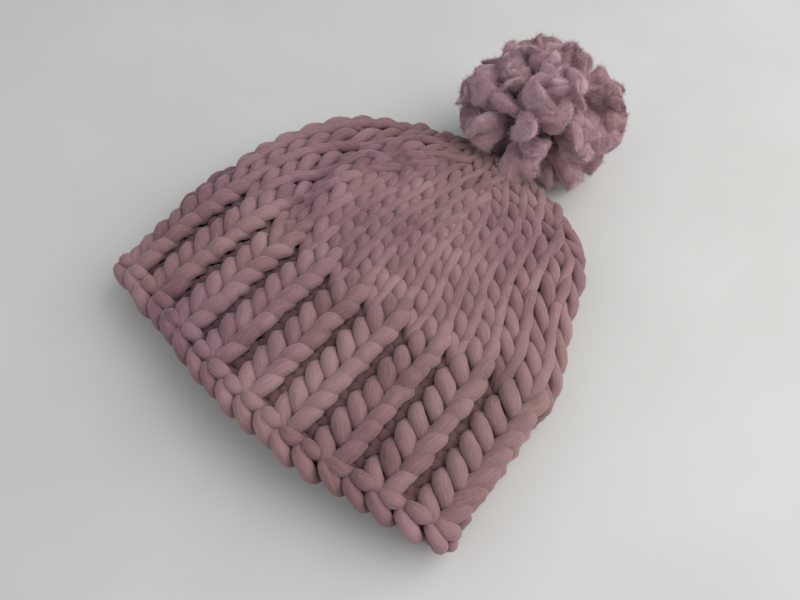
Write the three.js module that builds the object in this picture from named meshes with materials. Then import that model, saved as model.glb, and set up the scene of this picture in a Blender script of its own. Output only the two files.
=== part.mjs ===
// A hand-knitted pom pom beanie in thick roving yarn, laid flat on its back as it is put away.
// Millimetres, +Z up. The brim opens towards -Y and the crown and pom pom point towards +Y.
// The origin is on the table, in the middle of the whole object.
//
// The fabric is one flattened tube. Every point of it has two coordinates: a turn, from 0 to 1 round the
// tube starting at the right-hand fold, and a depth, the distance from the gathered crown to the knitted
// row, measured down the middle of the hat. Knitted columns are lines of equal turn and run together at
// the gather; knitted rows are lines of equal depth.
import * as THREE from "three";
import { mergeVertices } from "three/addons/utils/BufferGeometryUtils.js";

// Driving dimensions.
const HALF_WIDTH = 110; // from the middle of the hat to a side fold, at the widest rows
const HAT_LENGTH = 188; // from the gather down to the cast-on edge at a side fold
const RIB_LENGTH = 66; // height of the ribbed band
const CROWN_LENGTH = 66; // depth at which the crown shaping starts
const BRIM_BULGE = 13.5; // how far the middle of the brim stands out past its corners
const BRIM_SKEW = 6; // and how much more of that is on its right than on its left
const BRIM_TUCK = 12; // how far the left corner of the brim is drawn in
const UNDER_TUCK = 7; // how much further back the under layer's cast-on edge lies
const BODY_TUCK = { by: 12.5, middle: 86, reach: 21 }; // how far the right side is drawn in at some depths
const BAND_TUCK = { by: 0.8, from: 100, to: 140 }; // and from the top of the band down
const RIBS = 18; // knit ribs round the band, each with a purl gutter beside it
const BODY_THICKNESS = 9.2; // stockinette in this yarn
const RIB_THICKNESS = 10.4; // ribbing, from the ridge outside to the gutter inside
const RIB_RELIEF = 1.4; // how far the band waves in and out at each rib
const GATHER_HEIGHT = 22; // the gather's height over the table
const TOP_HEIGHT = 33; // the middle of the upper layer's thickness at its highest
const BRIM_DROP = 8; // how much lower the upper layer is at the cast-on edge
const CROWN_REACH = 28; // depth over which the upper layer rises from the gather
const TURN_UNDER = 8; // depth over which the under layer drops from the gather to the table
const GAP = 0.6; // between pieces that touch

const YARN_RADIUS = 2; // tied and darned ends, pulled tight
const EDGE_RADIUS = 4.6; // the cast-on row, a rope of loops
const DRAWSTRING_DEPTH = 7.2; // where the yarn that closes the crown runs
const SHANK_RADIUS = 2.4; // two plies of the tying yarn that carries the pom pom
const LOOP_RADIUS = 3.2; // the shank's loop in the middle of the gather
const KNOT_RADIUS = 4.6; // the knot inside the crown that holds the loop
const POM_RADIUS = 46;
const POM_HALF_HEIGHT = 36.5; // it settles under its own weight
const POM_FLAT = 18.5; // from its centre to where it is pressed flat against the hat
const TUFTS = 38; // strands of roving in the pom pom, before those left out round its shank
const CORE_RADIUS = 10; // the pinched middle of the pom pom, inside the tufts

// The object is centred on the origin by its box, so the gather lies at these places.
const GATHER_X = -1.94;
const GATHER_Y = 69.1;
const POM_CENTRE = new THREE.Vector3(GATHER_X + 6.7, GATHER_Y + 23, POM_HALF_HEIGHT + 0.5);

// Shape of the plan view: columns fan out from the gather at up to this angle either side of straight down.
const FAN_ANGLE = THREE.MathUtils.degToRad(75);
const FAN_SCALE = FAN_ANGLE / HALF_WIDTH;

const smoothstep = THREE.MathUtils.smoothstep;

// How far down the hat a row is, how much of the rib's thickness it has, and each layer's height there.
const RIB_START = HAT_LENGTH - RIB_LENGTH;
const RIB_BLEND = 8;
const rowShare = (depth) => depth / HAT_LENGTH;
const ribShare = (depth) => smoothstep(depth, RIB_START - RIB_BLEND, RIB_START + RIB_BLEND);
const halfThickness = (depth) =>
  THREE.MathUtils.lerp(BODY_THICKNESS, RIB_THICKNESS + 2 * RIB_RELIEF, ribShare(depth)) / 2;
const underHeight = (depth) => {
  const flat = halfThickness(depth) - GAP;
  return flat + (GATHER_HEIGHT - flat) * Math.exp(-depth / TURN_UNDER);
};
const upperHeight = (depth) =>
  TOP_HEIGHT -
  (TOP_HEIGHT - GATHER_HEIGHT) * Math.exp(-depth / CROWN_REACH) -
  BRIM_DROP * rowShare(depth) ** 4;
const FOLD_LEVEL = 0.4; // the side folds are widest at this share of the way up

// The outline across one row: the upper layer is domed and the under layer lies flat.
const UPPER_POWER = 2.6;
const UNDER_POWER = 8;
const upperOutline = (across) => Math.sqrt(Math.max(0, 1 - Math.abs(across) ** UPPER_POWER));
const underOutline = (across) => -Math.sqrt(Math.max(0, 1 - Math.abs(across) ** UNDER_POWER));

// Turn to place on the outline, with equal steps of turn taking equal lengths of fabric. The two rises are
// each layer's height over the folds in the middle of the hat.
const OUTLINE_STEPS = 720;
const UPPER_RISE = 17;
const UNDER_RISE = 9;
const outline = [];
for (let i = 0; i <= OUTLINE_STEPS; i++) {
  const angle = (2 * Math.PI * i) / OUTLINE_STEPS;
  const across = Math.cos(angle);
  const up = i <= OUTLINE_STEPS / 2 ? upperOutline(across) : underOutline(across);
  const point = new THREE.Vector2(across * HALF_WIDTH, up * (up > 0 ? UPPER_RISE : UNDER_RISE));
  const length = i ? outline[i - 1].length + point.distanceTo(outline[i - 1].point) : 0;
  outline.push({ angle, point, length });
}
function outlineAt(turn) {
  const wanted = (turn - Math.floor(turn)) * outline[OUTLINE_STEPS].length;
  let low = 0;
  let high = OUTLINE_STEPS;
  while (high - low > 1) {
    const middle = (low + high) >> 1;
    if (outline[middle].length > wanted) high = middle;
    else low = middle;
  }
  const share = (wanted - outline[low].length) / (outline[high].length - outline[low].length);
  const angle = THREE.MathUtils.lerp(outline[low].angle, outline[high].angle, share);
  const across = Math.cos(angle);
  return { across, up: angle <= Math.PI ? upperOutline(across) : underOutline(across) };
}

// The fan of columns: asinh of a complex number spreads a straight strip of columns out of one point.
function fanPlace(across, depth) {
  const size = Math.sinh(FAN_SCALE * depth);
  const re = size * Math.cos(across * FAN_ANGLE);
  const im = size * Math.sin(across * FAN_ANGLE);
  const squareRe = re * re - im * im + 1;
  const squareIm = 2 * re * im;
  const rootSize = Math.sqrt(Math.hypot(squareRe, squareIm));
  const rootAngle = Math.atan2(squareIm, squareRe) / 2;
  const sumRe = re + rootSize * Math.cos(rootAngle);
  const sumIm = im + rootSize * Math.sin(rootAngle);
  return {
    sideways: Math.atan2(sumIm, sumRe) / FAN_SCALE,
    down: Math.log(Math.hypot(sumRe, sumIm)) / FAN_SCALE,
  };
}

// A pleat runs from the gather down the left of the upper layer, where the gathered crown buckles: a valley
// that drifts towards the middle further down, with a ridge along its inner side. Widths are shares of the
// half width.
const VALLEY = { across: -0.8, drift: 0.0055, driftFrom: 60, width: 0.1, drop: 13 };
const RIDGE = { beside: 0.16, width: 0.11, rise: 5 };
const PLEAT_START = { from: 16, to: 45 }; // depths over which it opens
const PLEAT_END = { from: 85, to: 135 }; // depths over which it dies away
function pleat(across, depth) {
  const valley = VALLEY.across + VALLEY.drift * Math.max(depth - VALLEY.driftFrom, 0);
  const bump = (middle, width) => Math.exp(-(((across - middle) / width) ** 2));
  const open = smoothstep(depth, PLEAT_START.from, PLEAT_START.to);
  const closed = smoothstep(depth, PLEAT_END.from, PLEAT_END.to);
  const ridge = RIDGE.rise * bump(valley + RIDGE.beside, RIDGE.width);
  return (ridge - VALLEY.drop * bump(valley, VALLEY.width)) * open * (1 - closed);
}

// How far the right-hand fold is drawn in. It lies less spread than the left.
function rightTuck(depth) {
  const body = BODY_TUCK.by * Math.exp(-(((depth - BODY_TUCK.middle) / BODY_TUCK.reach) ** 2));
  return body + BAND_TUCK.by * smoothstep(depth, BAND_TUCK.from, BAND_TUCK.to);
}

// The middle of the fabric's thickness.
function fabricMiddle(turn, depth) {
  const { across, up } = outlineAt(turn);
  const { sideways, down } = fanPlace(across, depth);
  const under = underHeight(depth);
  const upper = upperHeight(depth);
  const fold = THREE.MathUtils.lerp(under, upper, FOLD_LEVEL);
  const share = rowShare(depth);
  const fromLeft = (1 + across) / 2;
  const tuck = BRIM_TUCK * (1 - fromLeft) * share ** 5 - rightTuck(depth) * fromLeft ** 2;
  const underTuck = up < 0 ? -up * UNDER_TUCK * share ** 6 : 0;
  const bulge = (BRIM_BULGE + BRIM_SKEW * across) * (1 - across * across) * share * share;
  return new THREE.Vector3(
    GATHER_X + sideways + tuck,
    GATHER_Y - down - bulge + underTuck,
    up > 0 ? fold + up * (upper - fold) + up * pleat(across, depth) : fold + up * (fold - under),
  );
}

// The fabric's middle moved outwards by an offset, and never below the table.
function fabricPoint(turn, depth, offset) {
  const step = 1e-3;
  const middle = fabricMiddle(turn, depth);
  const round = fabricMiddle(turn + step, depth).sub(fabricMiddle(turn - step, depth));
  const down = fabricMiddle(turn, depth + 0.2).sub(fabricMiddle(turn, depth - 0.2));
  const point = middle.addScaledVector(round.cross(down).normalize(), offset);
  point.z = Math.max(point.z, 0);
  return point;
}

// A closed solid from a grid that closes on itself round the hat: an outer skin, an inner skin and two rims.
function shell(name, material, { from, to, rows, columns, outer, inner }) {
  const positions = [];
  for (const offset of [outer, inner])
    for (let row = 0; row <= rows; row++)
      for (let column = 0; column < columns; column++) {
        const turn = column / columns;
        const depth = THREE.MathUtils.lerp(from, to, row / rows);
        positions.push(...fabricPoint(turn, depth, offset(turn, depth)));
      }
  const index = [];
  const at = (skin, row, column) => (skin * (rows + 1) + row) * columns + (column % columns);
  const quad = (a, b, c, d) => index.push(a, b, c, a, c, d);
  for (let column = 0; column < columns; column++) {
    const next = column + 1;
    for (let row = 0; row < rows; row++) {
      quad(at(0, row, column), at(0, row, next), at(0, row + 1, next), at(0, row + 1, column));
      quad(at(1, row, column), at(1, row + 1, column), at(1, row + 1, next), at(1, row, next));
    }
    quad(at(0, 0, column), at(1, 0, column), at(1, 0, next), at(0, 0, next));
    quad(at(0, rows, column), at(0, rows, next), at(1, rows, next), at(1, rows, column));
  }
  const geometry = new THREE.BufferGeometry()
    .setAttribute("position", new THREE.Float32BufferAttribute(positions, 3))
    .setIndex(index);
  geometry.computeVertexNormals();
  return named(name, geometry, material);
}

function named(name, geometry, material) {
  const mesh = new THREE.Mesh(geometry, material);
  mesh.name = name;
  return mesh;
}

// A yarn end of round section along a few points, closed at both ends.
function yarnEnd(name, material, points, radius, steps = 10) {
  const section = new THREE.Shape().absarc(0, 0, radius, 0, 2 * Math.PI);
  const extrudePath = new THREE.CatmullRomCurve3(points);
  const geometry = new THREE.ExtrudeGeometry(section, {
    steps,
    curveSegments: 4,
    bevelEnabled: false,
    extrudePath,
  });
  return named(name, geometry, material);
}

// A yarn ring that closes on itself.
function yarnRing(name, material, points, radius, segments) {
  const curve = new THREE.CatmullRomCurve3(points, true);
  const geometry = new THREE.TubeGeometry(curve, segments, radius, 6, true);
  geometry.deleteAttribute("normal");
  geometry.deleteAttribute("uv");
  return named(name, mergeVertices(geometry, 1e-3), material);
}

const ringPoints = (count, place) => Array.from({ length: count }, (_, i) => place(i / count));

const wool = new THREE.MeshStandardMaterial({ color: 0x8f6f78, roughness: 0.95, metalness: 0 });
const ribWool = new THREE.MeshStandardMaterial({ color: 0x8c6c75, roughness: 0.95, metalness: 0 });
const tiedWool = new THREE.MeshStandardMaterial({ color: 0x80606a, roughness: 0.95, metalness: 0 });
const pileWool = new THREE.MeshStandardMaterial({ color: 0x96737d, roughness: 1, metalness: 0 });

const hat = new THREE.Group();

// Knitted fabric: the cast-on row, the ribbed band, the plain body and the shaped crown. The crown's rows
// are drawn in near the gather, so its fabric is thinner there.
const CROWN_EDGE = 11;
const CROWN_FULL = 40;
const DRAWN_IN = { outer: 0.6, inner: 0.5 }; // shares of the thickness left at the crown's edge
const EDGE_CLEARANCE = 1.6; // between the band and the cast-on row, where the outline curves
const SEGMENTS = { ribColumn: 6, columns: 54, bandRows: 4, crownRows: 7, edge: 84, drawstring: 36 };
function addFabric() {
  const ribEdge = HAT_LENGTH - EDGE_RADIUS - EDGE_CLEARANCE;
  const crownSkin = (thin) => (_, depth) =>
    (BODY_THICKNESS / 2) * THREE.MathUtils.lerp(thin, 1, smoothstep(depth, CROWN_EDGE, CROWN_FULL));
  const wave = (turn) => -RIB_RELIEF * Math.cos(2 * Math.PI * RIBS * turn);
  const edge = (turn) => {
    const point = fabricMiddle(turn, HAT_LENGTH);
    point.z = Math.max(point.z, EDGE_RADIUS);
    return point;
  };
  hat.add(yarnRing("cast_on_edge", wool, ringPoints(60, edge), EDGE_RADIUS, SEGMENTS.edge));
  hat.add(
    shell("rib_brim", ribWool, {
      from: RIB_START + GAP,
      to: ribEdge,
      rows: SEGMENTS.bandRows,
      columns: SEGMENTS.ribColumn * RIBS,
      outer: (turn) => RIB_THICKNESS / 2 + wave(turn),
      inner: (turn) => -RIB_THICKNESS / 2 + wave(turn),
    }),
    shell("knit_body", wool, {
      from: CROWN_LENGTH + GAP / 2,
      to: RIB_START - GAP / 2,
      rows: SEGMENTS.bandRows,
      columns: SEGMENTS.columns,
      outer: () => BODY_THICKNESS / 2,
      inner: () => -BODY_THICKNESS / 2,
    }),
    shell("crown_fabric", wool, {
      from: CROWN_EDGE,
      to: CROWN_LENGTH - GAP / 2,
      rows: SEGMENTS.crownRows,
      columns: SEGMENTS.columns,
      outer: crownSkin(DRAWN_IN.outer),
      inner: (turn, depth) => -crownSkin(DRAWN_IN.inner)(turn, depth),
    }),
  );
}

// Yarn that closes the crown, and the two ends darned along the inside of the under layer.
const CAST_ON_TAIL = { from: HAT_LENGTH - 20, to: HAT_LENGTH - 60 };
const DRAWSTRING_TAIL = { from: 30, to: 60 };
const DARNED_TURN = 0.6; // in from the left fold, on the under layer
function addTies() {
  const ring = ringPoints(24, (turn) => fabricMiddle(turn, DRAWSTRING_DEPTH));
  hat.add(yarnRing("crown_drawstring", tiedWool, ring, YARN_RADIUS, SEGMENTS.drawstring));
  const darned = (name, { from, to }, thickness) => {
    const offset = -(thickness / 2 + YARN_RADIUS + GAP);
    const place = (i) => fabricPoint(DARNED_TURN, THREE.MathUtils.lerp(from, to, i / 5), offset);
    hat.add(yarnEnd(name, tiedWool, Array.from({ length: 6 }, (_, i) => place(i)), YARN_RADIUS));
  };
  darned("cast_on_tail", CAST_ON_TAIL, RIB_THICKNESS + 2 * RIB_RELIEF);
  darned("drawstring_tail", DRAWSTRING_TAIL, BODY_THICKNESS);
}

// The pom pom hangs by a knotted shank of its own tying yarn, which passes out through the gather. It
// swings and tips about the loop, just outside the yarn that closes the crown.
const GATHER_MIDDLE = fabricMiddle(0.25, DRAWSTRING_DEPTH)
  .add(fabricMiddle(0.75, DRAWSTRING_DEPTH))
  .multiplyScalar(0.5);
const PIVOT_OUTWARD = 4;
const PIVOT = GATHER_MIDDLE.clone().add(new THREE.Vector3(0, PIVOT_OUTWARD, 0));
const SHANK = POM_CENTRE.clone().sub(PIVOT).normalize();
const INWARD = new THREE.Vector3(0, -1, -0.15).normalize(); // from the gather into the crown

function addShank() {
  const ball = (name, radius, place) => {
    const mesh = named(name, new THREE.SphereGeometry(radius, 12, 8), tiedWool);
    mesh.rotation.x = Math.PI / 2;
    mesh.position.copy(place);
    hat.add(mesh);
  };
  ball("anchor_knot", KNOT_RADIUS, PIVOT.clone().addScaledVector(INWARD, KNOT_RADIUS + LOOP_RADIUS + GAP));
  ball("shank_loop", LOOP_RADIUS, PIVOT);
  const start = PIVOT.clone().addScaledVector(SHANK, LOOP_RADIUS + GAP);
  const end = POM_CENTRE.clone().addScaledVector(SHANK, -CORE_RADIUS - GAP);
  hat.add(yarnEnd("shank_yarn", tiedWool, [start, start.clone().lerp(end, 0.5), end], SHANK_RADIUS, 4));
}

// The pinched middle of the strands with the tie round it, and the tufts that fan out from there.
const WAIST = { length: 16, shoulder: 14.8, end: 5.4, narrow: 3.9, middle: 3.4 };
function addPomPom() {
  const waist = [
    [0, -WAIST.length / 2],
    [WAIST.end, -WAIST.shoulder / 2],
    [WAIST.narrow, -WAIST.shoulder / 5],
    [WAIST.middle, 0],
    [WAIST.narrow, WAIST.shoulder / 5],
    [WAIST.end, WAIST.shoulder / 2],
    [0, WAIST.length / 2],
  ].map(([radius, height]) => new THREE.Vector2(radius, height));
  const middle = named("bundle_waist", new THREE.LatheGeometry(waist, 12), pileWool);
  middle.position.copy(POM_CENTRE);
  const acrossShank = new THREE.Vector3(1, 0, 0).cross(SHANK).normalize();
  middle.quaternion.setFromUnitVectors(new THREE.Vector3(0, 1, 0), acrossShank);
  const tie = new THREE.TorusGeometry(WAIST.narrow + YARN_RADIUS, YARN_RADIUS, 8, 20);
  tie.deleteAttribute("normal");
  tie.deleteAttribute("uv");
  const tieRing = named("centre_tie", mergeVertices(tie, 1e-3), tiedWool);
  tieRing.position.copy(POM_CENTRE);
  tieRing.quaternion.setFromUnitVectors(new THREE.Vector3(0, 0, 1), acrossShank);
  hat.add(middle, tieRing);
  addTufts();
}

// The pile fills a flattened ball, cut off square to the shank where it meets the hat.
function tuftLength(direction) {
  const flat = Math.hypot(direction.x, direction.y) / POM_RADIUS;
  const ball = 1 / Math.hypot(flat, direction.z / POM_HALF_HEIGHT);
  const towardsHat = -direction.dot(SHANK);
  return towardsHat > 0 ? Math.min(ball, POM_FLAT / towardsHat) : ball;
}

const SHANK_CLEARANCE = 0.42; // radians round the shank that hold no tuft
const TUFT_ANGLE = THREE.MathUtils.degToRad(13.4);
const TUFT_SHOULDER = 0.83; // where a tuft is widest, as a share of its length
const TUFT_ROUNDING = [
  { out: 0.5, wide: 0.86 },
  { out: 0.87, wide: 0.5 },
]; // width left at shares of the way from there to its end
function tuftGeometry(length) {
  const wide = Math.tan(TUFT_ANGLE);
  const shoulder = length * TUFT_SHOULDER;
  const radius = shoulder * wide;
  const profile = [
    [0, CORE_RADIUS],
    [CORE_RADIUS * wide, CORE_RADIUS],
    [radius, shoulder],
    ...TUFT_ROUNDING.map(({ out, wide: left }) => [radius * left, shoulder + (length - shoulder) * out]),
    [0, length],
  ];
  return new THREE.LatheGeometry(
    profile.map(([x, y]) => new THREE.Vector2(x, y)),
    8,
  );
}

function addTufts() {
  const goldenAngle = Math.PI * (3 - Math.sqrt(5));
  const toShank = new THREE.Quaternion().setFromUnitVectors(new THREE.Vector3(0, 0, -1), SHANK);
  let number = 0;
  for (let i = 0; i < TUFTS; i++) {
    const height = 1 - (2 * (i + 0.5)) / TUFTS;
    const radius = Math.sqrt(1 - height * height);
    const direction = new THREE.Vector3(
      radius * Math.cos(i * goldenAngle),
      radius * Math.sin(i * goldenAngle),
      height,
    ).applyQuaternion(toShank);
    if (-direction.dot(SHANK) > Math.cos(SHANK_CLEARANCE)) continue; // the shank comes through here
    number += 1;
    const name = `pile_tuft_${String(number).padStart(2, "0")}`;
    const tuft = named(name, tuftGeometry(tuftLength(direction)), pileWool);
    tuft.position.copy(POM_CENTRE);
    tuft.quaternion.setFromUnitVectors(new THREE.Vector3(0, 1, 0), direction);
    hat.add(tuft);
  }
}

addFabric();
addTies();
addShank();
addPomPom();

export default hat;
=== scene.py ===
import math

import bpy
import numpy as np
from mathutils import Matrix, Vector


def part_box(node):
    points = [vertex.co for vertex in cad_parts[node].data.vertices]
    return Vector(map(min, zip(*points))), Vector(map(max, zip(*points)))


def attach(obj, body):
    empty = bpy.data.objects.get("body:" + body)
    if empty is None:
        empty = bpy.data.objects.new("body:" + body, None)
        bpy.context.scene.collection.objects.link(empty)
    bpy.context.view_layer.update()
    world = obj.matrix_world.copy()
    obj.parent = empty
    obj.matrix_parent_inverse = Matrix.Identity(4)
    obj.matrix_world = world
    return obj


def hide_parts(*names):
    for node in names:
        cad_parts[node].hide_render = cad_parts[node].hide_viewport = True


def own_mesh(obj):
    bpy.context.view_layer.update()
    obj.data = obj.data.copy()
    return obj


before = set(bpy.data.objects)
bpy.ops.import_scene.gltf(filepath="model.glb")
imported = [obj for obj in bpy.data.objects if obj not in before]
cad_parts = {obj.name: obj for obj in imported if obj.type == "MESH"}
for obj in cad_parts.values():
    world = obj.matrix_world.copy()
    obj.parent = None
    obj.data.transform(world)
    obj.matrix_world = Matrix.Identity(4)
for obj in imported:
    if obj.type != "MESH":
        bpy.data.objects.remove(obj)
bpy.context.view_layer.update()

MM = 0.001
rng = np.random.default_rng(20)

# ---------------------------------------------------------------- sizes, from the frame


def box_mm(node):
    low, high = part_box(node)
    return np.array(low) / MM, np.array(high) / MM


def centre_mm(node):
    low, high = box_mm(node)
    return (low + high) / 2


PIVOT = centre_mm("shank_loop")
POM_CENTRE = centre_mm("centre_tie")
PIVOT_TO_GATHER = 3.22
GATHER = PIVOT + np.array([0.0, PIVOT_TO_GATHER, 0.0])
SHANK = (POM_CENTRE - PIVOT) / np.linalg.norm(POM_CENTRE - PIVOT)

HALF_WIDTH = 110.0
HAT_LENGTH = 188.0
RIB_LENGTH = 66.0
BRIM_BULGE = 13.5
BRIM_SKEW = 6.0
BRIM_TUCK = 12.0
BODY_TUCK, BODY_TUCK_DEPTH, BODY_TUCK_REACH = 12.5, 86.0, 21.0
BAND_TUCK = 0.8
UNDER_TUCK = 7.0
RIBS = 18
BODY_THICKNESS = 9.2
RIB_THICKNESS = 10.4
RIB_RELIEF = 1.4
GATHER_HEIGHT = 22.0
TOP_HEIGHT = 33.0
BRIM_DROP = 8.0
CROWN_REACH = 28.0
TURN_UNDER = 8.0
FABRIC_GAP = 0.6
FOLD_LEVEL = 0.4
FAN_ANGLE = math.radians(75)
FAN_SCALE = FAN_ANGLE / HALF_WIDTH
UPPER_POWER, UNDER_POWER = 2.6, 8.0
UPPER_RISE, UNDER_RISE = 17.0, 9.0
DRAWSTRING_DEPTH = 7.2
DARNED_TURN = 0.6
TABLE_GAP = 0.05

# ---------------------------------------------------------------- the fabric's surface


def smoothstep(value, low, high):
    share = np.clip((value - low) / (high - low), 0, 1)
    return share * share * (3 - 2 * share)


def unit(vectors):
    return vectors / np.maximum(np.linalg.norm(vectors, axis=-1, keepdims=True), 1e-9)


def superellipse(across, power):
    return np.sqrt(np.maximum(0.0, 1 - np.abs(across) ** power))


def outline_table(steps=720):
    """Angle against the share of the outline's length, so that equal turns take equal fabric."""
    angle = np.linspace(0, 2 * np.pi, steps + 1)
    across = np.cos(angle)
    rise = np.where(
        angle <= np.pi,
        UPPER_RISE * superellipse(across, UPPER_POWER),
        -UNDER_RISE * superellipse(across, UNDER_POWER),
    )
    step = np.hypot(np.diff(across * HALF_WIDTH), np.diff(rise))
    length = np.concatenate([[0], np.cumsum(step)])
    return length / length[-1], angle


OUTLINE_SHARE, OUTLINE_ANGLE = outline_table()

VALLEY_ACROSS, VALLEY_DRIFT, VALLEY_WIDTH, VALLEY_DROP = -0.8, 0.0055, 0.10, 13.0
RIDGE_BESIDE, RIDGE_WIDTH, RIDGE_RISE = 0.16, 0.11, 5.0


def pleat(across, depth):
    """The gathered crown buckles into one valley down the left of the upper layer, with a ridge beside it."""
    valley = VALLEY_ACROSS + VALLEY_DRIFT * np.maximum(depth - 60, 0)
    drop = VALLEY_DROP * np.exp(-(((across - valley) / VALLEY_WIDTH) ** 2))
    ridge = RIDGE_RISE * np.exp(-(((across - valley - RIDGE_BESIDE) / RIDGE_WIDTH) ** 2))
    return (ridge - drop) * smoothstep(depth, 16, 45) * (1 - smoothstep(depth, 85, 135))


def fabric_middle(turn, depth):
    """The middle of the fabric's thickness, at a turn (0 to 1 round the hat) and a depth below the gather."""
    turn, depth = np.asarray(turn, float), np.asarray(depth, float)
    angle = np.interp(turn % 1.0, OUTLINE_SHARE, OUTLINE_ANGLE)
    across = np.cos(angle)
    upper_side = angle <= np.pi
    up = np.where(upper_side, superellipse(across, UPPER_POWER), -superellipse(across, UNDER_POWER))
    fan = np.arcsinh(np.sinh(FAN_SCALE * depth) * np.exp(1j * across * FAN_ANGLE))
    sideways, down = fan.imag / FAN_SCALE, fan.real / FAN_SCALE
    share = depth / HAT_LENGTH
    rib = smoothstep(depth, HAT_LENGTH - RIB_LENGTH - 8, HAT_LENGTH - RIB_LENGTH + 8)
    flat = (BODY_THICKNESS + (RIB_THICKNESS + 2 * RIB_RELIEF - BODY_THICKNESS) * rib) / 2 - FABRIC_GAP
    under = flat + (GATHER_HEIGHT - flat) * np.exp(-depth / TURN_UNDER)
    upper = TOP_HEIGHT - (TOP_HEIGHT - GATHER_HEIGHT) * np.exp(-depth / CROWN_REACH) - BRIM_DROP * share**4
    fold = under + (upper - under) * FOLD_LEVEL
    height = np.where(
        upper_side,
        fold + up * (upper - fold) + up * pleat(across, depth),
        fold + up * (fold - under),
    )
    right_tuck = BODY_TUCK * np.exp(-(((depth - BODY_TUCK_DEPTH) / BODY_TUCK_REACH) ** 2))
    right_tuck = right_tuck + BAND_TUCK * smoothstep(depth, 100, 140)
    from_left = (1 + across) / 2
    x = GATHER[0] + sideways + BRIM_TUCK * (1 - from_left) * share**5 - right_tuck * from_left**2
    bulge = (BRIM_BULGE + BRIM_SKEW * across) * (1 - across * across) * share * share
    y = GATHER[1] - down - bulge
    y = y + np.where(upper_side, 0, -up) * UNDER_TUCK * share**6
    return np.stack([x, y, height], -1)


def fabric_frame(turn, depth):
    """The fabric's middle, and its outward normal. Turns run anticlockwise seen from the crown, so on the
    upper layer they rise from right to left."""
    round_hat = fabric_middle(turn + 1e-3, depth) - fabric_middle(turn - 1e-3, depth)
    down_hat = fabric_middle(turn, depth + 0.2) - fabric_middle(turn, depth - 0.2)
    return fabric_middle(turn, depth), unit(np.cross(round_hat, down_hat))


# ---------------------------------------------------------------- meshes


class Shape:
    """Vertices, faces and per-vertex yarn coordinates, gathered from several tubes."""

    def __init__(self):
        self.points, self.faces, self.yarn, self.tint = [], [], [], []
        self.count = 0

    def add(self, points, faces, yarn, tint):
        self.points.append(points)
        self.faces.append(faces + self.count)
        self.yarn.append(yarn)
        self.tint.append(tint)
        self.count += len(points)


def new_mesh(name, shape, material):
    """A smooth-shaded object from a shape. What would sink into the table is pressed flat on it."""
    points = np.concatenate(shape.points)
    points[:, 2] = np.maximum(points[:, 2], TABLE_GAP)
    faces = np.concatenate(shape.faces)
    mesh = bpy.data.meshes.new(name)
    mesh.vertices.add(len(points))
    mesh.vertices.foreach_set("co", (points * MM).astype(np.float32).ravel())
    mesh.loops.add(faces.size)
    mesh.loops.foreach_set("vertex_index", faces.astype(np.int32).ravel())
    mesh.polygons.add(len(faces))
    mesh.polygons.foreach_set("loop_start", np.arange(0, faces.size, 4, dtype=np.int32))
    mesh.polygons.foreach_set("use_smooth", np.ones(len(faces), bool))
    yarn = mesh.attributes.new("yarn", "FLOAT_VECTOR", "POINT")
    yarn.data.foreach_set("vector", np.concatenate(shape.yarn).astype(np.float32).ravel())
    tint = mesh.attributes.new("tint", "FLOAT", "POINT")
    tint.data.foreach_set("value", np.concatenate(shape.tint).astype(np.float32))
    mesh.update(calc_edges=True)
    mesh.validate()
    mesh.materials.append(material)
    piece = bpy.data.objects.new(name, mesh)
    bpy.context.scene.collection.objects.link(piece)
    return piece


def stand_for(piece, body, slot, *nodes):
    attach(piece, body)
    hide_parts(*nodes)


# ---------------------------------------------------------------- tubes


def side_vectors(path, closed):
    """A vector square to the path at each point, turning as little as it can, and its partner."""
    if closed:
        tangent = unit(np.roll(path, -1, 0) - np.roll(path, 1, 0))
    else:
        tangent = unit(np.gradient(path, axis=0))
    side = np.empty_like(path)
    start = np.cross(tangent[0], [0.31, 0.17, 0.93])
    side[0] = start / np.linalg.norm(start)
    for i in range(len(path) - 1):
        step = path[i + 1] - path[i]
        size = step @ step + 1e-12
        turned = side[i] - (2 / size) * (step @ side[i]) * step
        heading = tangent[i] - (2 / size) * (step @ tangent[i]) * step
        change = tangent[i + 1] - heading
        size = change @ change + 1e-12
        side[i + 1] = turned - (2 / size) * (change @ turned) * change
    partner = np.cross(tangent, side)
    if closed:
        step = path[0] - path[-1]
        size = step @ step + 1e-12
        turned = side[-1] - (2 / size) * (step @ side[-1]) * step
        gap = math.atan2(turned @ partner[0], turned @ side[0])
        angle = -gap * np.arange(len(path)) / len(path)
        cos, sin = np.cos(angle)[:, None], np.sin(angle)[:, None]
        side, partner = side * cos + partner * sin, partner * cos - side * sin
    return side, partner


def tube_faces(count, sides, closed):
    """Quads between a tube's rings, and back to the first ring on a closed one."""
    row = np.arange(count if closed else count - 1)[:, None]
    column = np.arange(sides)[None, :]
    after, beside = (row + 1) % count, (column + 1) % sides
    return np.stack(
        [row * sides + column, row * sides + beside, after * sides + beside, after * sides + column], -1
    ).reshape(-1, 4)


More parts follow.
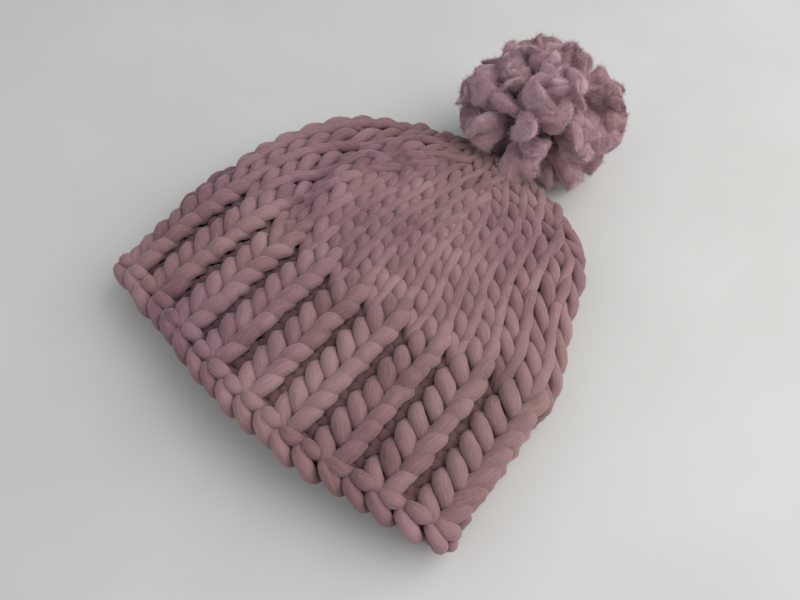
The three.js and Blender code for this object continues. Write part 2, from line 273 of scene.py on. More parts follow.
def tube(shape, path, radius, tint, sides=10, closed=True, flatten=None):
    """Adds a round tube along a path. flatten is (normals, share): it thins the tube along the normals."""
    count = len(path)
    radius, tint = np.broadcast_to(radius, count), np.broadcast_to(tint, count)
    side, partner = side_vectors(path, closed)
    angle = np.arange(sides) * 2 * np.pi / sides
    ring = radius[:, None]
    cos, sin = np.cos(angle), np.sin(angle)
    offset = ring[:, :, None] * (side[:, None] * cos[None, :, None] + partner[:, None] * sin[None, :, None])
    if flatten is not None:
        normals, share = flatten
        along = np.einsum("nsk,nk->ns", offset, normals)
        offset = offset - (1 - share) * along[:, :, None] * normals[:, None]
    points = path[:, None] + offset
    step = np.linalg.norm(np.diff(path, axis=0, append=path[:1]), axis=1)
    length = np.concatenate([[0], np.cumsum(step[:-1])])
    yarn = np.stack(
        [
            np.broadcast_to(ring * cos, (count, sides)),
            np.broadcast_to(ring * sin, (count, sides)),
            np.broadcast_to(length[:, None], (count, sides)),
        ],
        -1,
    )
    faces = tube_faces(count, sides, closed)
    shape.add(points.reshape(-1, 3), faces, yarn.reshape(-1, 3), np.repeat(tint, sides))


def spline(values, steps, closed=True, period=None):
    """Catmull-Rom through the rows of values. On a closed one, period is what each lap adds."""
    values = np.asarray(values, float)
    count = len(values)
    period = np.zeros(values.shape[1]) if period is None else np.asarray(period, float)
    if closed:
        index = np.arange(-1, count + 2)
        padded = values[index % count] + np.floor_divide(index, count)[:, None] * period
        spans = count
    else:
        padded = np.concatenate([2 * values[:1] - values[1:2], values, 2 * values[-1:] - values[-2:-1]])
        spans = count - 1
    share = (np.arange(steps) / steps)[None, :, None]
    a, b, c, d = (padded[k : k + spans][:, None] for k in range(4))
    curve = 0.5 * (
        2 * b + (c - a) * share + (2 * a - 5 * b + 4 * c - d) * share**2 + (3 * b - a - 3 * c + d) * share**3
    )
    curve = curve.reshape(-1, values.shape[1])
    return curve if closed else np.concatenate([curve, values[-1:]])


# ---------------------------------------------------------------- stitches

# One stitch as its yarn runs: across in column widths (to the right on the outside), up in rows, height
# over the fabric's middle in millimetres, yarn radius in millimetres. It starts half a column left of the
# stitch, and its last point leads on to the next stitch's first. The yarn is spun one way, so the left leg
# leans out and tucks under, and the right leg stands nearly upright over it.
PLAIN_STITCH = np.array(
    [
        (-0.50, -0.10, -1.8, 2.8),
        (-0.18, -0.34, -1.8, 2.8),
        (0.10, -0.32, -0.8, 2.8),
        (0.02, 0.04, 1.2, 3.3),
        (-0.19, 0.46, 2.4, 3.7),
        (-0.38, 0.90, 1.2, 3.1),
        (-0.33, 1.24, -1.2, 3.0),
        (-0.02, 1.38, -1.8, 2.9),
        (0.20, 1.44, -0.8, 2.7),
        (0.29, 1.26, 1.7, 2.8),
        (0.29, 0.88, 2.7, 3.1),
        (0.28, 0.44, 2.8, 3.1),
        (0.27, 0.02, 2.4, 3.0),
        (0.26, -0.32, 0.8, 2.7),
        (0.34, -0.36, -1.4, 2.7),
    ]
)
# A stitch on a rib's ridge: thicker and prouder, with its right leg's upper end lying on top.
RIDGE_STITCH = np.array(
    [
        (-0.50, -0.12, -1.6, 2.8),
        (-0.20, -0.36, -1.6, 2.8),
        (0.13, -0.30, -0.6, 3.0),
        (0.01, 0.06, 1.6, 3.9),
        (-0.23, 0.48, 3.0, 4.4),
        (-0.44, 0.90, 1.6, 3.7),
        (-0.35, 1.26, -1.4, 2.9),
        (0.00, 1.44, -2.0, 2.8),
        (0.26, 1.54, -1.4, 2.9),
        (0.38, 1.38, 2.3, 3.5),
        (0.35, 0.98, 4.2, 4.2),
        (0.28, 0.54, 3.6, 4.1),
        (0.20, 0.10, 1.6, 3.6),
        (0.14, -0.32, -1.0, 2.9),
        (0.30, -0.40, -1.8, 2.8),
    ]
)
# A purl stitch in the gutter between two ridges: a plain one turned back to front, and sunk.
GUTTER_STITCH = PLAIN_STITCH * [0.85, 1.0, -0.7, 1.08] + [0.0, 0.0, -3.8, 0.0]
GUTTER_STITCH[0, 0] = PLAIN_STITCH[0, 0]
ABOVE_GUTTER = [0.0, 0.0, -1.2, -0.1]  # what the first plain stitch above a gutter keeps of its sinking

RIB_ROWS = 7
ROWS = 20
RIB_TOP = HAT_LENGTH - RIB_LENGTH
EDGE_DEPTH = 183.5
FIRST_DEPTH = 181.8
LAST_DEPTH = 9.5
SECTORS = 6
PAIR_STEP = 1.7  # how far the two stitches knitted together stand over and under each other
PAIR_SHIFT = 0.12  # how far apart their heads stay, in columns each way
FULL_SECTOR = RIBS * 2 // SECTORS
CROWN_ROW = 13  # the first row of the crown
# Stitches in each sixth of the hat, row by row from the cast-on to the gather.
SECTOR_STITCHES = [FULL_SECTOR] * 14 + [5, 5, 4, 3, 2, 2]
RIB_SQUEEZE = 0.46  # how much of a column's width a ridge takes from its gutter
# The drift of the columns, in columns, at three depths.
LEAN_DEPTHS, LEAN_COLUMNS = [40, 122, 185], [-0.65, -0.40, 0.12]
# Towards the gather the yarn is crowded: its thickness and relief shrink to these shares.
CROWD_DEPTHS, CROWD_SHARES = [10, 24, 60, 100], [0.58, 0.76, 0.94, 1.0]
# Uneven knitting: the spread of each coordinate of a stitch, point by point and stitch by stitch.
POINT_SPREAD = [0.022, 0.02, 0.16, 0.035]
STITCH_SPREAD = [0.02, 0.03, 0.2, 0.03]
ROW_FLATTEN, EDGE_FLATTEN = 0.92, 0.95
# Painted shade: yarn lying deep between its neighbours is tinted darker, by up to SHADE, from SHADE_FROM over
# the fabric's middle to SHADE_OVER below that.
SHADE, SHADE_FROM, SHADE_OVER = 4.5, 1.6, 4


def row_depth(row):
    """How far below the gather a row starts."""
    return np.interp(row, [0, RIB_ROWS, ROWS], [FIRST_DEPTH, RIB_TOP - 0.5, LAST_DEPTH])


def rib_amount(row):
    return 1 - smoothstep(row, RIB_ROWS - 0.7, RIB_ROWS + 0.9)


def column_share(row, stitch, per_sector):
    """Width of a column as a share of the average: ridges are wide and gutters narrow in the rib."""
    squeeze = RIB_SQUEEZE * rib_amount(row) if per_sector == FULL_SECTOR else 0.0
    return 1 + np.where(stitch % 2 == 1, squeeze, -squeeze)


def stitch_templates(row, stitch):
    """Every stitch's control points in a row: (stitches, points, 4)."""
    rib = rib_amount(row + 0.3)
    ridge = PLAIN_STITCH + (RIDGE_STITCH - PLAIN_STITCH) * rib
    gutter = GUTTER_STITCH if row < RIB_ROWS else PLAIN_STITCH
    if row == RIB_ROWS:
        gutter = gutter + ABOVE_GUTTER
    return np.where((stitch % 2 == 1)[:, None, None], ridge, gutter)


def lean(turn, depth):
    """How far the columns drift round the hat, in turns: they lean to the right on the way up, except at
    the right-hand fold."""
    column = (turn % 1.0) * RIBS * 2
    share = smoothstep(column, 1, 7) * (1 - smoothstep(column, 20, 34))
    return np.interp(depth, LEAN_DEPTHS, LEAN_COLUMNS) / (RIBS * 2) * share


def on_fabric(turn, depth, height):
    """Points over the fabric's middle, and its normals. This turn rises to the right on the upper layer."""
    turn = -turn
    middle, normal = fabric_frame(turn + lean(turn, depth), depth)
    return middle + normal * height[:, None], normal


def sector_turn(sector, place, per_sector):
    """The turn of a stitch in its sector, with the first column of the rib at a whole column."""
    return (sector + (place + 0.5) / per_sector) / SECTORS + 1.5 / (RIBS * 2)


def uneven(points, axis):
    """Random unevenness for one coordinate of every stitch's points."""
    by_point = rng.normal(0, POINT_SPREAD[axis], points.shape[:2])
    return by_point + rng.normal(0, STITCH_SPREAD[axis], (len(points), 1))


def shade(height):
    """How much painted shade darkens the yarn's colour where it lies deep."""
    return SHADE * np.clip((SHADE_FROM - height) / SHADE_OVER, 0, 1)


def knit_row(shape, row):
    """Adds a row's one closed yarn. Where the next row has fewer stitches, the middle pair of each sector
    is knitted together, the left stitch over the right."""
    per_sector = SECTOR_STITCHES[row]
    count = per_sector * SECTORS
    stitch = np.arange(count)
    above = SECTOR_STITCHES[min(row + 1, ROWS - 1)]
    sector, place = stitch // per_sector, stitch % per_sector
    decreasing = above < per_sector
    pair = (per_sector - 1) // 2
    kept = np.where(decreasing & (place > pair), place - 1, place)
    foot = sector_turn(sector, place, per_sector)
    head = sector_turn(sector, kept, above)
    points = stitch_templates(row, stitch).copy()
    if decreasing:
        side = np.where(np.abs(place - pair - 0.5) < 1, np.sign(place - pair - 0.5), 0)
        head = head + side * PAIR_SHIFT / count
        points[..., 2] -= side[:, None] * PAIR_STEP * np.clip(points[..., 1], 0, 1)
    for axis in range(3):
        points[..., axis] += uneven(points, axis)
    points[..., 3] *= 1 + uneven(points, 3)
    up = np.clip(points[..., 1], 0, 1)
    average = 1 / count + (1 / (above * SECTORS) - 1 / count) * up if decreasing else 1 / count
    wide = average * column_share(row + up, stitch[:, None], per_sector)
    centre = foot[:, None] + (head - foot)[:, None] * np.clip(points[..., 1], -0.2, 1.25)
    turn = centre + points[..., 0] * wide
    depth = row_depth(row + points[..., 1])
    crowd = np.interp(row_depth(row + up), CROWD_DEPTHS, CROWD_SHARES)
    height = points[..., 2] * crowd
    radius = points[..., 3] * crowd
    # Each stitch's random tone, with painted shade where its yarn lies deep between its neighbours.
    tint = rng.normal(0, 1, (count, 1)) - shade(height)
    controls = np.stack([turn, depth, height, radius, tint], -1).reshape(-1, 5)
    curve = spline(controls, 2, period=[1, 0, 0, 0, 0])
    path, normal = on_fabric(*curve[:, :3].T)
    tube(shape, path, curve[:, 3], curve[:, 4], flatten=(normal, ROW_FLATTEN))


def knit(name, rows, material, node):
    shape = Shape()
    for row in rows:
        knit_row(shape, row)
    stand_for(new_mesh(name, shape, material), "hat", "hat_wool", node)


# ---------------------------------------------------------------- the cast-on edge

# The cast-on is three yarns: slanting wraps over the edge, beads inside them, and a strand under both.
EDGE_WRAP = np.array(
    [
        # across, depth past the edge line in millimetres, height, radius
        (-0.48, 0.8, 1.8, 2.7),
        (-0.22, 2.8, 3.4, 3.4),
        (0.10, 4.4, 2.6, 3.6),
        (0.36, 5.6, -0.2, 3.2),
        (0.50, 4.8, -3.2, 2.8),
        (0.54, 1.0, -4.2, 2.7),
        (0.52, -2.0, -1.8, 2.6),
    ]
)
EDGE_BUMP = np.array(
    [
        (-0.50, -2.2, -1.4, 2.7),
        (-0.22, -1.8, 3.0, 3.4),
        (0.03, -1.3, 4.4, 3.8),
        (0.26, -2.0, 2.8, 3.3),
    ]
)
EDGE_STRAND = np.array([(-0.25, -4.2, -2.4, 3.3), (0.25, -3.8, -2.4, 3.3)])
EDGE_ACROSS_SPREAD, EDGE_DEPTH_SPREAD, EDGE_RADIUS_SPREAD = 0.03, 0.5, 0.06


def edge_yarn(shape, template, count):
    stitch = np.arange(count)
    points = np.broadcast_to(template, (count, *template.shape)).copy()
    points[..., 0] += rng.normal(0, EDGE_ACROSS_SPREAD, (count, 1))
    points[..., 1] += rng.normal(0, EDGE_DEPTH_SPREAD, (count, 1))
    points[..., 3] *= 1 + rng.normal(0, EDGE_RADIUS_SPREAD, (count, 1))
    turn = (stitch[:, None] + 0.5 + points[..., 0]) / count
    # Each cast-on stitch's random tone, with painted shade where its yarn lies deep.
    tint = rng.normal(0, 1, (count, 1)) - shade(points[..., 2])
    controls = np.stack([turn, EDGE_DEPTH + points[..., 1], points[..., 2], points[..., 3], tint], -1)
    curve = spline(controls.reshape(-1, 5), 4, period=[1, 0, 0, 0, 0])
    path, normal = on_fabric(*curve[:, :3].T)
    tube(shape, path, curve[:, 3], curve[:, 4], flatten=(normal, EDGE_FLATTEN))


def make_cast_on(material):
    shape = Shape()
    for template in (EDGE_WRAP, EDGE_BUMP, EDGE_STRAND):
        edge_yarn(shape, template, RIBS * 2)
    stand_for(new_mesh("cast_on_rope", shape, material), "hat", "hat_wool", "cast_on_edge")


# ---------------------------------------------------------------- tied yarn


def plied(shape, path, radius, plies=2, pitch=9.0, closed=False):
    """Plies of yarn twisted round a path."""
    side, partner = side_vectors(path, closed)
    step = np.linalg.norm(np.diff(path, axis=0, prepend=path[:1]), axis=1)
    length = np.cumsum(step)
    turns = length / pitch
    if closed:
        whole = length[-1] + np.linalg.norm(path[0] - path[-1])
        turns = length / whole * max(1, round(whole / pitch))
    for ply in range(plies):
        angle = 2 * np.pi * (turns + ply / plies)
        strand = path + radius * 0.5 * (side * np.cos(angle)[:, None] + partner * np.sin(angle)[:, None])
        taper = np.ones(len(path))
        if not closed:
            taper = np.minimum(1, np.minimum(np.arange(len(path)), np.arange(len(path))[::-1]) / 3 + 0.05)
        tube(shape, strand, radius * 0.62 * taper, float(ply), sides=8, closed=closed)


# The bundle of strands lies across the shank, and the tie winds round it.
BUNDLE_AXIS = unit(np.cross([1.0, 0.0, 0.0], SHANK))
BUNDLE_SIDE = np.cross(BUNDLE_AXIS, SHANK)
TIE_TURNS, TIE_RADIUS, TIE_WIDTH = 3, 5.6, 3.4


def make_drawstring(material):
    turn = np.linspace(0, 1, 96, endpoint=False)
    shape = Shape()
    plied(shape, fabric_middle(turn, DRAWSTRING_DEPTH), 2.0, closed=True)
    stand_for(new_mesh("drawstring_ring", shape, material), "hat", "tying_yarn", "crown_drawstring")


def make_tail(name, node, first, last, thickness, material):
    """An end darned along the inside of the under layer, dipping in and out of the backs of the stitches."""
    depth = np.linspace(first, last, 60)
    middle, normal = fabric_frame(np.full(60, DARNED_TURN), depth)
    dip = 0.8 * np.sin(np.linspace(0, 6 * np.pi, 60))
    path = middle - normal * (thickness / 2 + 2.6 - dip)[:, None]
    shape = Shape()
    plied(shape, path, 2.0)
    stand_for(new_mesh(name, shape, material), "hat", "tying_yarn", node)


def knot_path(centre, size, turns=2, count=120):
    """A yarn wound round itself into a ball."""
    t = np.linspace(0, 2 * np.pi, count, endpoint=False)
    path = np.stack(
        [
            (2 + np.cos(3 * t)) * np.cos(turns * t),
            (2 + np.cos(3 * t)) * np.sin(turns * t),
            1.6 * np.sin(3 * t),
        ],
        -1,
    )
    return centre + path * size / 3


def make_knots(material):
    shape = Shape()
    plied(shape, knot_path(centre_mm("anchor_knot"), 2.9), 1.9, closed=True)
    stand_for(new_mesh("anchor_knot_yarn", shape, material), "hat", "tying_yarn", "anchor_knot")
    shape = Shape()
    plied(shape, knot_path(PIVOT, 1.6, count=80), 1.5, closed=True)
    stand_for(new_mesh("shank_loop_yarn", shape, material), "shank_base", "tying_yarn", "shank_loop")
    shape = Shape()
    reach = np.linspace(2.5, np.linalg.norm(POM_CENTRE - PIVOT) - 8, 24)
    plied(shape, PIVOT + SHANK * reach[:, None], 2.4, pitch=8)
    stand_for(new_mesh("shank_plies", shape, material), "shank", "tying_yarn", "shank_yarn")


def make_tie(material):
    """The tie's turns round the pinched middle of the bundle."""
    t = np.linspace(0, 2 * TIE_TURNS * np.pi, 150)
    coil = (t / (2 * TIE_TURNS * np.pi) - 0.5)[:, None] * TIE_WIDTH * BUNDLE_AXIS
    path = POM_CENTRE + TIE_RADIUS * (np.cos(t)[:, None] * SHANK + np.sin(t)[:, None] * BUNDLE_SIDE) + coil
    shape = Shape()
    plied(shape, path, 1.7, pitch=7)
    stand_for(new_mesh("tie_turns", shape, material), "pompom", "tying_yarn", "centre_tie")


# ---------------------------------------------------------------- the pom pom

POM_RADIUS = 46.0
POM_HALF_HEIGHT = 36.5
STRANDS_PER_TUFT = 3
PRESSED_WITHIN = 9.0  # a tuft gets a mesh of its own if a joint's limit brings its end this near the hat
PILE_SEED = 500
STRAND_SPREAD = 0.15
STRAND_REACH = (0.93, 1.06)
STRAND_START = 6.0
STRAND_WIDTH, STRAND_THICKNESS, STRAND_CUP, STRAND_CURL = (7.0, 12.0), (3.2, 5.2), (0.08, 0.21), (-0.35, 0.7)
STRAND_RINGS, STRAND_SIDES = 44, 36
TIP_FROM = 0.62
FIBRES_PER_STRAND, FIBRE_LENGTH, FIBRE_THICKNESS = 520, 2.4, 0.075
# Each joint's axis, and its limits in degrees away from rest.
JOINTS = {
    "pompom_swing": (np.array([0.0, 0.0, 1.0]), (-12, 20)),
    "pompom_tilt": (np.array([1.0, 0.0, 0.0]), (25,)),
    "pompom_twist": (SHANK, (-30, 30)),
}


def turned(points, axis, degrees):
    """Points turned about an axis through the pivot."""
    angle = math.radians(degrees)
    arm = points - PIVOT
    along = (arm @ axis)[:, None] * axis
    return PIVOT + along + (arm - along) * math.cos(angle) + np.cross(axis, arm) * math.sin(angle)


def hat_near_pivot():
    turn, depth = np.meshgrid(np.linspace(0, 1, 72, endpoint=False), np.linspace(8, 92, 15))
    return fabric_middle(turn.ravel(), depth.ravel())


HAT_AT_REST = hat_near_pivot()
# The same fabric as the pom pom meets it at each joint's limits.
HAT_AT_LIMITS = {
    joint: np.concatenate([turned(HAT_AT_REST, axis, -limit) for limit in limits])
    for joint, (axis, limits) in JOINTS.items()
}
# How far the pile stays from the middle of the fabric.
CLEAR_AT_REST, CLEAR_AT_LIMITS = 11.5, 6.5


def pile_length(direction):
    """How far the pile reaches from the tie: a settled ball, pressed flatter where it meets the hat."""
    flat = math.hypot(direction[0], direction[1]) / POM_RADIUS
    ball = 1 / math.hypot(flat, direction[2] / POM_HALF_HEIGHT)
    reach = np.arange(16.0, ball, 0.5)
    tips = POM_CENTRE + direction * reach[:, None]
    limits = [(HAT_AT_LIMITS[joint], CLEAR_AT_LIMITS) for joint in ("pompom_swing", "pompom_twist")]
    for fabric, clear in [(HAT_AT_REST, CLEAR_AT_REST), *limits]:
        nearest = np.linalg.norm(tips[:, None] - fabric[None], axis=2).min(1)
        blocked = np.flatnonzero(nearest < clear)
        if len(blocked):
            ball = min(ball, reach[blocked[0]])
    return ball


def most_pressed(direction):
    """The joint whose limits bring the pile's end nearest the hat, and that distance."""
    tip = POM_CENTRE + direction * pile_length(direction)
    near = {joint: np.linalg.norm(fabric - tip, axis=1).min() for joint, fabric in HAT_AT_LIMITS.items()}
    joint = min(near, key=near.get)
    return joint, near[joint]


class Crumple:
    """A smooth random height over space, the sum of a few waves of falling length."""

    def __init__(self, random, longest, octaves=4, waves=5):
        self.waves = []
        for octave in range(octaves):
            length = longest / 1.9**octave
            for _ in range(waves):
                heading = unit(random.normal(size=3)) * 2 * np.pi / length
                self.waves.append((heading, random.uniform(0, 2 * np.pi), 1.0 / 1.75**octave / waves**0.5))

    def __call__(self, points):
        return sum(size * np.sin(points @ heading + phase) for heading, phase, size in self.waves)


def petal(shape, direction, reach, random):
    """One cut end of roving: a strand that leaves the tie, opens into a thick cupped ribbon and curls.
    Returns points on its outer half with the way each faces, for the loose fibres."""
    rings, sides = STRAND_RINGS, STRAND_SIDES
    along = np.sin(np.linspace(0, np.pi / 2, rings))[:, None]
    angle = (np.arange(sides) * 2 * np.pi / sides)[None, :]
    wide_axis = unit(np.cross(direction, random.normal(size=3)))
    thin_axis = np.cross(direction, wide_axis)
    wide = random.uniform(*STRAND_WIDTH) * (0.24 + 0.76 * smoothstep(along, 0.15, 0.75))
    thick = random.uniform(*STRAND_THICKNESS) * (0.45 + 0.55 * smoothstep(along, 0.1, 0.7))
    tip = np.clip((along - TIP_FROM) / (1 - TIP_FROM), 0, 1)
    closing = np.sqrt(np.maximum(1 - tip**2.2, 0))
    cup = random.uniform(*STRAND_CUP) * smoothstep(along, 0.2, 0.8) + 1e-4
    u = wide * closing**0.75 * np.cos(angle)
    v = thick * closing * np.sin(angle)
    bent = cup * u
    x = np.sin(bent) / cup - v * np.sin(bent)
    y = (1 - np.cos(bent)) / cup + v * np.cos(bent)
    curl = random.uniform(*STRAND_CURL) * reach
    shortening = 0.10 * (curl / reach) ** 2 * along**4
    centre = POM_CENTRE + direction * (STRAND_START + (reach - STRAND_START) * (along - shortening))
    twist = random.normal(0, 0.5) * along
    across = wide_axis * np.cos(twist) + thin_axis * np.sin(twist)
    through = thin_axis * np.cos(twist) - wide_axis * np.sin(twist)
    centre = centre + through * curl * along**3.2 * 0.55
    points = centre[:, None] + across[:, None] * x[:, :, None] + through[:, None] * y[:, :, None]
    flat = points.reshape(-1, 3)
    outward = unit(flat - np.repeat(centre, sides, 0) + direction * 1e-3)
    strength = np.repeat(smoothstep(along, 0.15, 0.7) * closing**0.5, sides)[:, None]
    fold = Crumple(random, 20.0, 2)(flat) * 2.0 + Crumple(random, 7.0, 3)(flat) * 0.45
    flat = flat + outward * fold[:, None] * strength
    length = np.repeat(along[:, 0] * reach, sides)
    yarn = np.stack([np.broadcast_to(u, v.shape).ravel(), v.ravel(), length], -1)
    # Painted shade: each strand's random tone is darkened towards the tie, more the nearer the middle, over
    # the inner three quarters of its length.
    tint = random.normal() + np.repeat(6 * np.minimum(along[:, 0] - 0.75, 0), sides)
    shape.add(flat, tube_faces(rings, sides, closed=False), yarn, tint)
    outer = slice(rings // 2 * sides, -5 * sides)
    return flat[outer], outward[outer]


def loose_fibres(shape, points, facing, random):
    """Short curved fibres that stand out of a surface, each a tapering three-sided tube."""
    count = FIBRES_PER_STRAND
    pick = random.integers(0, len(points), count)
    root, out = points[pick], facing[pick]
    spread = unit(random.normal(size=(count, 3)))
    heading = unit(0.9 * out + spread)
    heading = heading + out * np.maximum(0.15 - np.sum(heading * out, 1), 0)[:, None]
    reach = FIBRE_LENGTH * random.uniform(0.5, 1.3, (count, 1))
    bow = unit(random.normal(size=(count, 3))) * 0.28
    steps = np.array([-0.15, 0.25, 0.62, 1.0])
    path = root[:, None] + reach[:, None] * (
        heading[:, None] * steps[:, None] + bow[:, None] * (steps**2)[:, None]
    )
    side = unit(np.cross(heading, random.normal(size=(count, 3))))
    partner = np.cross(heading, side)
    angle = np.arange(3) * 2 * np.pi / 3
    ring = side[:, None] * np.cos(angle)[:, None] + partner[:, None] * np.sin(angle)[:, None]
    taper = FIBRE_THICKNESS * np.array([1.0, 0.9, 0.6, 0.12])
    tubes = path[:, :, None] + ring[:, None] * taper[:, None, None]
    first = np.arange(count)[:, None, None] * 12 + np.arange(3)[None, :, None] * 3
    here, beside = np.arange(3)[None, None, :], (np.arange(3)[None, None, :] + 1) % 3
    faces = np.stack([first + here, first + beside, first + 3 + beside, first + 3 + here], -1).reshape(-1, 4)
    yarn = np.broadcast_to(steps[None, :, None, None] * [0.0, 0.0, 1.0], (count, 4, 3, 3))
    # Painted highlight: each loose fibre is tinted lighter than its strand, around 2.2 on average, with a
    # random spread.
    tint = np.repeat(random.normal(2.2, 0.8, count), 12)
    shape.add(tubes.reshape(-1, 3), faces, yarn.reshape(-1, 3), tint)


def make_pom_pom(material):
    names = sorted(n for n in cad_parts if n.startswith("pile_tuft_"))
    for number, node in enumerate(names):
        random = np.random.default_rng(PILE_SEED + number)
        points = np.array([v.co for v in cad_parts[node].data.vertices]) / MM
        direction = unit((points - POM_CENTRE).mean(0))
        shape = Shape()
        for _ in range(STRANDS_PER_TUFT):
            aim = unit(direction + random.normal(0, STRAND_SPREAD, 3))
            reach = pile_length(aim) * random.uniform(*STRAND_REACH)
            points, facing = petal(shape, aim, reach, random)
            loose_fibres(shape, points, facing, random)
        piece = new_mesh(node.replace("pile_tuft", "roving_ends"), shape, material)
        stand_for(piece, "pompom", "pom_pom_roving", node)
        joint, near = most_pressed(direction)
        if near < PRESSED_WITHIN:
            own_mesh(piece)


def make_waist(material):
    """The strands squeezed together by the tie."""
    strands = 7
    reach = np.linspace(-9, 9, 18)
    spread = 3.6 + 0.055 * reach**2
    shape = Shape()
    for number in range(strands):
        angle = 2 * np.pi * number / strands
        around = math.cos(angle) * SHANK + math.sin(angle) * BUNDLE_SIDE
        path = POM_CENTRE + BUNDLE_AXIS * reach[:, None] + around * (spread * 0.55)[:, None]
        tube(shape, path, spread * 0.5, float(number % 3 - 1), sides=8, closed=False)
    stand_for(new_mesh("pinched_strands", shape, material), "pompom", "pom_pom_roving", "bundle_waist")


# ---------------------------------------------------------------- materials


class Nodes:
    """A short way to build a material's node tree."""

    def __init__(self, name):
        self.material = bpy.data.materials.new(name)
        self.material.use_nodes = True
        self.tree = self.material.node_tree
        self.shader = self.tree.nodes["Principled BSDF"]

    def add(self, kind, inputs=None, **settings):
        node = self.tree.nodes.new(kind)
        for key, value in settings.items():
            setattr(node, key, value)
        for key, value in (inputs or {}).items():
            if isinstance(value, bpy.types.NodeSocket):
                self.tree.links.new(value, node.inputs[key])
            else:
                node.inputs[key].default_value = value
        return node

    def attribute(self, name):
        return self.add("ShaderNodeAttribute", attribute_name=name)

    def noise(self, vector, scale, detail=3.0, roughness=0.5):
        inputs = {"Vector": vector, "Scale": scale, "Detail": detail, "Roughness": roughness}
        return self.add("ShaderNodeTexNoise", inputs).outputs["Fac"]

    def math(self, operation, a, b):
        return self.add("ShaderNodeMath", {0: a, 1: b}, operation=operation).outputs[0]

    def ramp(self, value, stops):
        node = self.add("ShaderNodeValToRGB", {"Fac": value})
        elements = node.color_ramp.elements
        while len(elements) < len(stops):
            elements.new(0.5)
        for element, (position, colour) in zip(elements, stops):
            element.position, element.color = position, (*colour, 1)
        return node.outputs["Color"]

    def link(self, output, name):
        self.tree.links.new(output, self.shader.inputs[name])


def wool(name, dark, middle, light, sheen=0.35, streak=1.0, fuzz=1.0):
    """Roving wool: fine fibres along the yarn, uneven dye, a matte surface with a soft sheen."""
    n = Nodes(name)
    yarn = n.attribute("yarn").outputs["Vector"]
    tint = n.attribute("tint").outputs["Fac"]
    place = n.add("ShaderNodeTexCoord").outputs["Object"]
    stretched = n.add("ShaderNodeMapping", {"Vector": yarn, "Scale": (1.0, 1.0, 0.11)}).outputs["Vector"]
    fibres = n.noise(stretched, 1.7 * streak, 5.0, 0.62)
    patches = n.noise(place, 26.0, 3.0, 0.55)
    down = n.noise(place, 900.0, 4.0, 0.65)
    shade = n.math("ADD", n.math("MULTIPLY", fibres, 0.42), n.math("MULTIPLY", patches, 0.5))
    # The tint attribute: a random tone per stitch, strand or ply, with painted shade where knit yarn lies
    # deep and towards the pom pom's middle, and a painted highlight on loose fibres.
    shade = n.math("ADD", shade, n.math("MULTIPLY", tint, 0.035))
    shade = n.math("ADD", shade, n.math("MULTIPLY", down, 0.12))
    colour = n.ramp(shade, [(0.36, dark), (0.52, middle), (0.70, light)])
    dye = n.add("ShaderNodeMapRange", {"Value": n.noise(place, 15.0, 2.0), "From Min": 0.3, "From Max": 0.7})
    dye.inputs["To Min"].default_value, dye.inputs["To Max"].default_value = 0.478, 0.522
    dyed = n.add("ShaderNodeHueSaturation", {"Hue": dye.outputs["Result"], "Color": colour})
    n.link(dyed.outputs[0], "Base Color")
    rough = n.add("ShaderNodeMapRange", {"Value": fibres, "To Min": 0.82, "To Max": 1.0})
    n.link(rough.outputs["Result"], "Roughness")
    coarse = n.add("ShaderNodeBump", {"Strength": 0.5, "Distance": 0.0006 * streak, "Height": fibres})
    fine = n.add(
        "ShaderNodeBump",
        {"Strength": 0.45 * fuzz, "Distance": 0.0003, "Height": down, "Normal": coarse.outputs["Normal"]},
    )
    n.link(fine.outputs["Normal"], "Normal")
    n.shader.inputs["Sheen Weight"].default_value = sheen
    n.shader.inputs["Sheen Roughness"].default_value = 0.45
    n.shader.inputs["Sheen Tint"].default_value = (0.93, 0.80, 0.84, 1)
    n.shader.inputs["Specular IOR Level"].default_value = 0.18
    return n.material


# ---------------------------------------------------------------- floor, lights and camera


def make_floor():
    n = Nodes("pale_floor")
    place = n.add("ShaderNodeTexCoord").outputs["Object"]
    value = n.noise(place, 9.0, 3.0)
    n.link(n.ramp(value, [(0.35, (0.64, 0.64, 0.61)), (0.65, (0.68, 0.68, 0.65))]), "Base Color")
    n.shader.inputs["Roughness"].default_value = 0.6
    mesh = bpy.data.meshes.new("floor")
    half = 15.0
    corners = [(-half, -half, 0), (half, -half, 0), (half, half, 0), (-half, half, 0)]
    mesh.from_pydata(corners, [], [(0, 1, 2, 3)])
    mesh.materials.append(n.material)
    floor = bpy.data.objects.new("floor", mesh)
    bpy.context.scene.collection.objects.link(floor)


def area_light(name, place, size, power, colour):
    data = bpy.data.lights.new(name, "AREA")
    data.size, data.energy, data.color = size, power, colour
    light = bpy.data.objects.new(name, data)
    light.location = place
    light.rotation_mode = "QUATERNION"
    light.rotation_quaternion = (-Vector(place)).to_track_quat("-Z", "Y")
    bpy.context.scene.collection.objects.link(light)


def make_lights():
    area_light("window", (0.58, 0.42, 0.74), 1.2, 10.0, (1.0, 0.98, 0.97))
    area_light("fill", (-0.4, -0.9, 0.9), 1.4, 1.8, (0.95, 0.97, 1.0))
    world = bpy.data.worlds.new("studio")
    world.use_nodes = True
    world.node_tree.nodes["Background"].inputs["Color"].default_value = (0.92, 0.95, 1.0, 1)
    world.node_tree.nodes["Background"].inputs["Strength"].default_value = 0.44
    bpy.context.scene.world = world


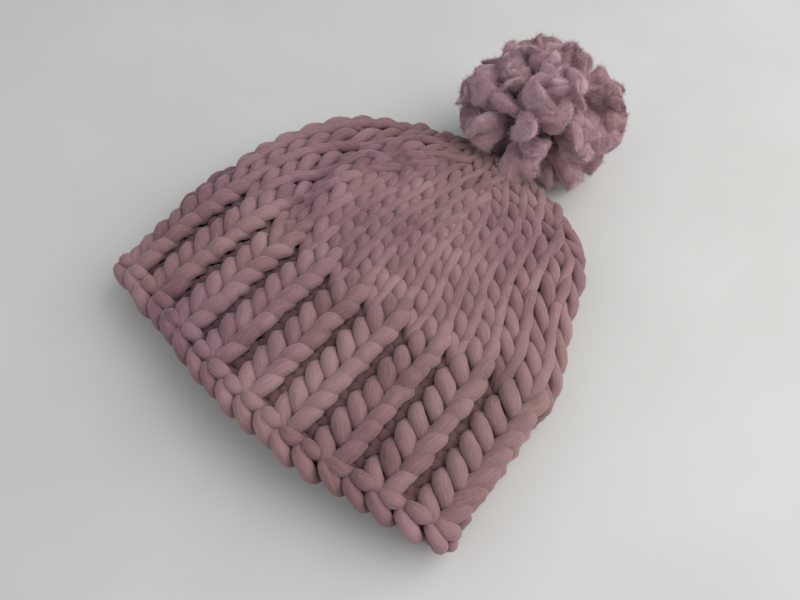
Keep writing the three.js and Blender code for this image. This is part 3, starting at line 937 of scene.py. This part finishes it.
LENS, SENSOR_WIDTH = 33.75, 36.0
CAMERA_FROM_GATHER = (0.1493, -0.2600, 0.3247)  # metres, from the table under the gather
LOOK_HEADING = (-0.6505, 0.7595)
LOOK_DOWN = math.radians(57)


def make_camera():
    data = bpy.data.cameras.new("camera")
    data.lens, data.sensor_width = LENS, SENSOR_WIDTH
    data.clip_start, data.clip_end = 0.01, 20.0
    camera = bpy.data.objects.new("camera", data)
    camera.location = Vector((GATHER[0] * MM, GATHER[1] * MM, 0)) + Vector(CAMERA_FROM_GATHER)
    level = math.cos(LOOK_DOWN)
    look = Vector((LOOK_HEADING[0] * level, LOOK_HEADING[1] * level, -math.sin(LOOK_DOWN)))
    camera.rotation_mode = "QUATERNION"
    camera.rotation_quaternion = look.to_track_quat("-Z", "Y")
    bpy.context.scene.collection.objects.link(camera)
    bpy.context.scene.camera = camera


# ---------------------------------------------------------------- the whole scene


def main():
    make_camera()
    make_lights()
    make_floor()
    hat_wool = wool("hat_wool", (0.185, 0.097, 0.102), (0.295, 0.168, 0.175), (0.40, 0.243, 0.256))
    tie_wool = wool("tying_wool", (0.17, 0.09, 0.10), (0.25, 0.14, 0.16), (0.33, 0.20, 0.22), streak=1.6)
    pile_colours = (0.22, 0.115, 0.125), (0.40, 0.235, 0.265), (0.60, 0.40, 0.45)
    pile_wool = wool("pile_wool", *pile_colours, sheen=0.9, streak=0.8, fuzz=1.6)
    make_cast_on(hat_wool)
    knit("rib_courses", range(0, RIB_ROWS), hat_wool, "rib_brim")
    knit("body_courses", range(RIB_ROWS, CROWN_ROW), hat_wool, "knit_body")
    knit("crown_courses", range(CROWN_ROW, ROWS), hat_wool, "crown_fabric")
    make_drawstring(tie_wool)
    make_tail("cast_on_tail_yarn", "cast_on_tail", HAT_LENGTH - 20, HAT_LENGTH - 60, 13.2, tie_wool)
    make_tail("drawstring_tail_yarn", "drawstring_tail", 30, 60, 9.2, tie_wool)
    make_knots(tie_wool)
    make_tie(tie_wool)
    make_waist(pile_wool)
    make_pom_pom(pile_wool)
    scene = bpy.context.scene
    scene.view_settings.view_transform = "Standard"


main()
